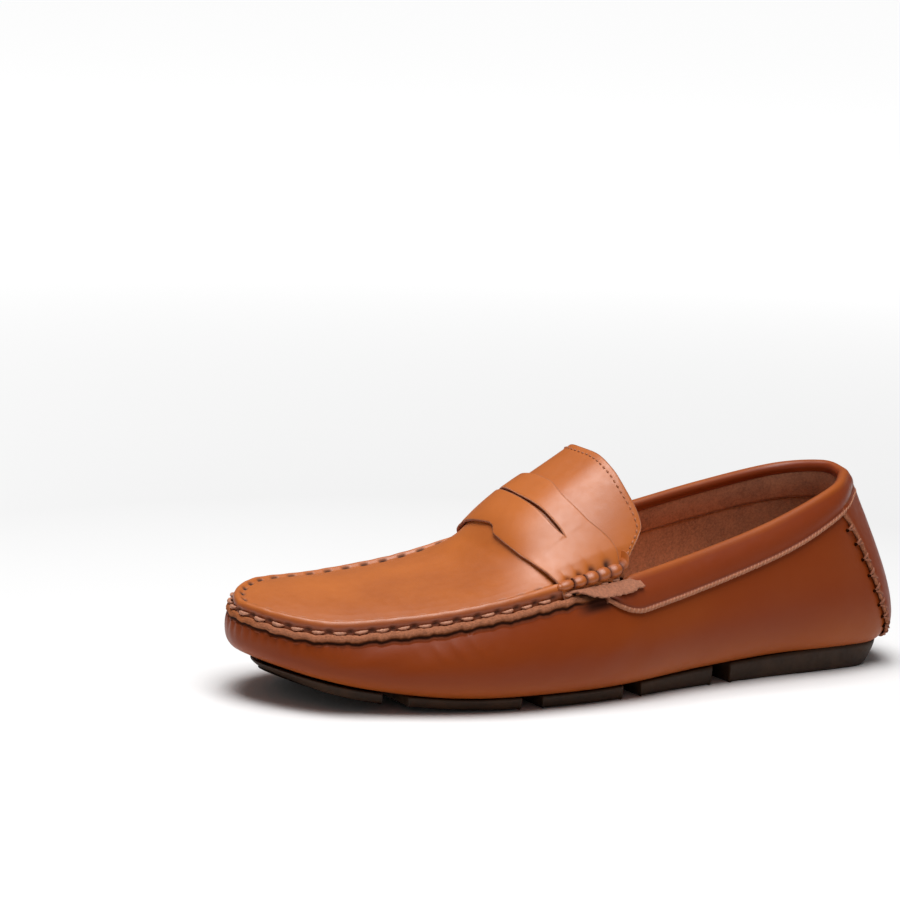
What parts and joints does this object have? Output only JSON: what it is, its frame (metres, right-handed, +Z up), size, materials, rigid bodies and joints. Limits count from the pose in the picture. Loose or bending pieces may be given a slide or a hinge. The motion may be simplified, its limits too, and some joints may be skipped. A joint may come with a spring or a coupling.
{
  "type": "penny loafer",
  "caption": "Left slip-on moccasin shoe with a raised apron seam, slit saddle strap, lashed strap ends, padded collar, whip-stitched heel patch and split rubber sole pads.",
  "frame": {"origin": "on the ground, in the middle of the shoe's bounding box", "axes": "+Z up; toe towards -Y, heel towards +Y; +X is the wearer's left, the outer side of this left shoe"},
  "size_m": [0.1043, 0.2932, 0.0934],
  "materials": {
    "leather": "smooth aniline-finished cowhide, medium gloss, burnished darker at seams and edges",
    "lining": "matt brown lining leather with a soft nap",
    "sock": "smooth undyed tan leather insole cover",
    "foam": "open-cell padding foam and thin fibre board, hidden inside the shoe",
    "rubber": "moulded dark brown rubber, matt",
    "thread": "waxed hand-sewing thread, one shade lighter than the leather"
  },
  "bodies": {
    "root": {"sole_pad_heel": "rubber", "sole_pad_waist": "rubber", "sole_pad_middle": "rubber", "sole_pad_ball": "rubber", "sole_pad_toe": "rubber", "moccasin_wrap": "leather", "apron": "leather", "saddle_strap": "leather", "collar_band": "leather", "heel_patch": "leather", "beefroll_outer": "leather", "beefroll_inner": "leather", "collar_foam": "foam", "heel_counter": "foam", "footbed_foam": "foam", "collar_facing": "lining", "quarter_lining": "lining", "vamp_lining": "lining", "tongue_lining": "lining", "sock_lining": "sock", "beefroll_cord_outer": "thread", "beefroll_cord_inner": "thread", "apron_thread": "thread", "tongue_thread": "thread", "collar_thread": "thread", "heel_thread_outer": "thread", "heel_thread_inner": "thread"}
  },
  "joints": []
}
